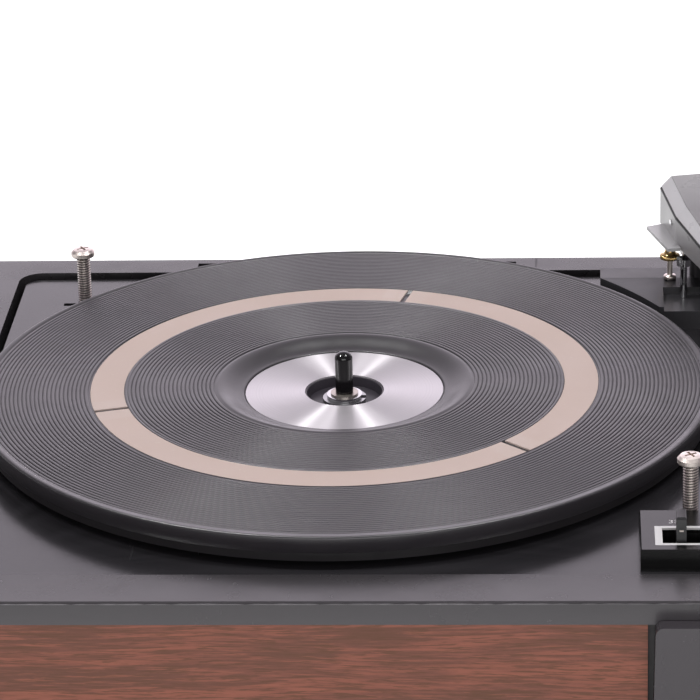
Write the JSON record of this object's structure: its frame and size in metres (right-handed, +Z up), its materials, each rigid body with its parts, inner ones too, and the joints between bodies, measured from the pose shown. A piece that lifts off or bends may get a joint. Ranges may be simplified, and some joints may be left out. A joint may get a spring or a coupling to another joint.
{
  "type": "record changer turntable",
  "caption": "Record changer turntable on a low plinth, with ribbed mat, inlaid ring, stub spindle, transit screws, sliding controls and a pickup arm.",
  "frame": {"origin": "middle of the footprint on the floor", "axes": "+X to the right along the front, +Y towards the back, +Z up"},
  "size_m": [0.402, 0.3474, 0.1449],
  "materials": {
    "moulding_plastic": "satin",
    "cabinet_board": "satin",
    "wood_veneer": "satin",
    "hardboard": "matte",
    "black_rubber": "matte",
    "spring_steel": "satin",
    "zinc_steel": "satin",
    "deck_paint": "satin",
    "ground_steel": "polished",
    "brass": "satin",
    "collar_steel": "satin",
    "dark_spindle": "satin",
    "platter_paint": "satin",
    "mat_rubber": "matte",
    "inlay_metal": "satin",
    "label_metal": "brushed",
    "cream_nylon": "satin",
    "lamination_steel": "satin",
    "coil_tape": "satin",
    "lever_plastic": "gloss",
    "switch_plastic": "satin",
    "block_plastic": "gloss",
    "trim_white": "gloss",
    "gear_alloy": "satin",
    "base_plastic": "satin",
    "arm_silver": "satin",
    "shell_plastic": "satin",
    "cartridge_plastic": "satin",
    "stylus_metal": "satin",
    "chrome": "polished"
  },
  "bodies": {
    "root": {"arm_base": "base_plastic", "arm_rest": "shell_plastic", "base_board": "hardboard", "bearing_tube": "ground_steel", "cable_grommet": "black_rubber", "case_screws": "zinc_steel", "control_block": "block_plastic", "front_board": "cabinet_board", "front_corner_panel": "moulding_plastic", "gear_post": "zinc_steel", "height_screw": "brass", "lever_stud": "zinc_steel", "main_lever": "zinc_steel", "mains_switch": "switch_plastic", "motor_brackets": "zinc_steel", "motor_coil": "coil_tape", "motor_grommets": "black_rubber", "motor_screws": "zinc_steel", "motor_stator": "lamination_steel", "rear_board": "cabinet_board", "retaining_clip": "spring_steel", "rubber_feet": "black_rubber", "side_boards": "cabinet_board", "slot_trim": "trim_white", "spindle_collar": "collar_steel", "stub_spindle": "dark_spindle", "suspension_springs": "spring_steel", "thrust_balls": "ground_steel", "thrust_cage": "brass", "thrust_washers": "ground_steel", "top_moulding": "moulding_plastic", "transit_clips": "spring_steel", "unit_plate": "deck_paint", "wood_front_panel": "wood_veneer"},
    "platter_body": {"platter": "platter_paint", "platter_mat": "mat_rubber", "inlay_ring": "inlay_metal", "label_disc": "label_metal", "hub_pinion": "cream_nylon"},
    "rotor": {"motor_rotor": "ground_steel", "motor_pulley": "brass"},
    "crank": {"idler_crank": "zinc_steel"},
    "carrier": {"idler_carrier": "zinc_steel"},
    "idler": {"idler_wheel": "cream_nylon", "idler_tyre": "black_rubber"},
    "speed": {"speed_slide": "zinc_steel", "speed_lever": "lever_plastic"},
    "start": {"start_slide": "zinc_steel", "start_lever": "lever_plastic"},
    "gear": {"change_gear": "gear_alloy"},
    "pawl": {"trip_pawl": "brass"},
    "yoke": {"arm_yoke": "ground_steel", "arm_pins": "ground_steel"},
    "arm": {"tonearm": "arm_silver", "head_shell": "shell_plastic", "cartridge": "cartridge_plastic"},
    "stylus": {"stylus_lever": "stylus_metal"},
    "lifter": {"lift_pin": "chrome"},
    "left_screw": {"transit_screw_left": "zinc_steel"},
    "right_screw": {"transit_screw_right": "zinc_steel"}
  },
  "joints": [
    {"name": "platter_spin", "type": "hinge", "parent": "root", "child": "platter_body", "pos_m": [-0.03, 0.01045, 0.0959], "axis": [0, 0, 1], "continuous": true},
    {"name": "motor_spin", "type": "hinge", "parent": "root", "child": "rotor", "pos_m": [-0.10503, -0.04209, 0.0959], "axis": [0, 0, 1], "continuous": true},
    {"name": "speed_slide", "type": "slide", "parent": "root", "child": "speed", "axis": [1, 0, 0], "range_m": [0, 0.024]},
    {"name": "idler_swing", "type": "hinge", "parent": "root", "child": "crank", "pos_m": [-0.08899, -0.02318, 0.0959], "axis": [0, 0, 1], "range_deg": [0, 13.51]},
    {"name": "idler_lift", "type": "slide", "parent": "crank", "child": "carrier", "axis": [0, 0, 1], "range_m": [0, 0.0122]},
    {"name": "idler_spin", "type": "hinge", "parent": "carrier", "child": "idler", "pos_m": [-0.09137, -0.06311, 0.0959], "axis": [0, 0, 1], "continuous": true},
    {"name": "start_slide", "type": "slide", "parent": "root", "child": "start", "axis": [1, 0, 0], "range_m": [-0.007, 0.007]},
    {"name": "gear_creep", "type": "hinge", "parent": "root", "child": "gear", "pos_m": [0.03113, -0.00479, 0.0959], "axis": [0, 0, 1], "range_deg": [0, 5]},
    {"name": "pawl_pivot", "type": "hinge", "parent": "gear", "child": "pawl", "pos_m": [0.00275, -0.00699, 0.0959], "axis": [0, 0, 1], "range_deg": [-8, 0]},
    {"name": "arm_swing", "type": "hinge", "parent": "root", "child": "yoke", "pos_m": [0.118, 0.12845, 0.1259], "axis": [0, 0, 1], "range_deg": [-48, 0]},
    {"name": "arm_tilt", "type": "hinge", "parent": "yoke", "child": "arm", "pos_m": [0.118, 0.12845, 0.1319], "axis": [-0.9781, -0.2079, 0], "range_deg": [0, 14]},
    {"name": "stylus_turnover", "type": "hinge", "parent": "arm", "child": "stylus", "pos_m": [0.15896, -0.06425, 0.1129], "axis": [0, 0, 1], "range_deg": [-12, 12]},
    {"name": "lift_pin_slide", "type": "slide", "parent": "root", "child": "lifter", "axis": [0, 0, 1], "range_m": [0, 0.0017]},
    {"name": "left_screw_slide", "type": "slide", "parent": "root", "child": "left_screw", "axis": [0, 0, 1], "range_m": [-0.016, 0]},
    {"name": "right_screw_slide", "type": "slide", "parent": "root", "child": "right_screw", "axis": [0, 0, 1], "range_m": [-0.016, 0]}
  ],
  "couplings": [
    {"joint": "motor_spin", "follows": "platter_spin", "ratio": -41.115},
    {"joint": "idler_spin", "follows": "platter_spin", "ratio": 5.3636},
    {"joint": "idler_swing", "follows": "speed_slide", "rad_per_m": 9.8165},
    {"joint": "idler_lift", "follows": "speed_slide", "ratio": 0.50833}
  ]
}
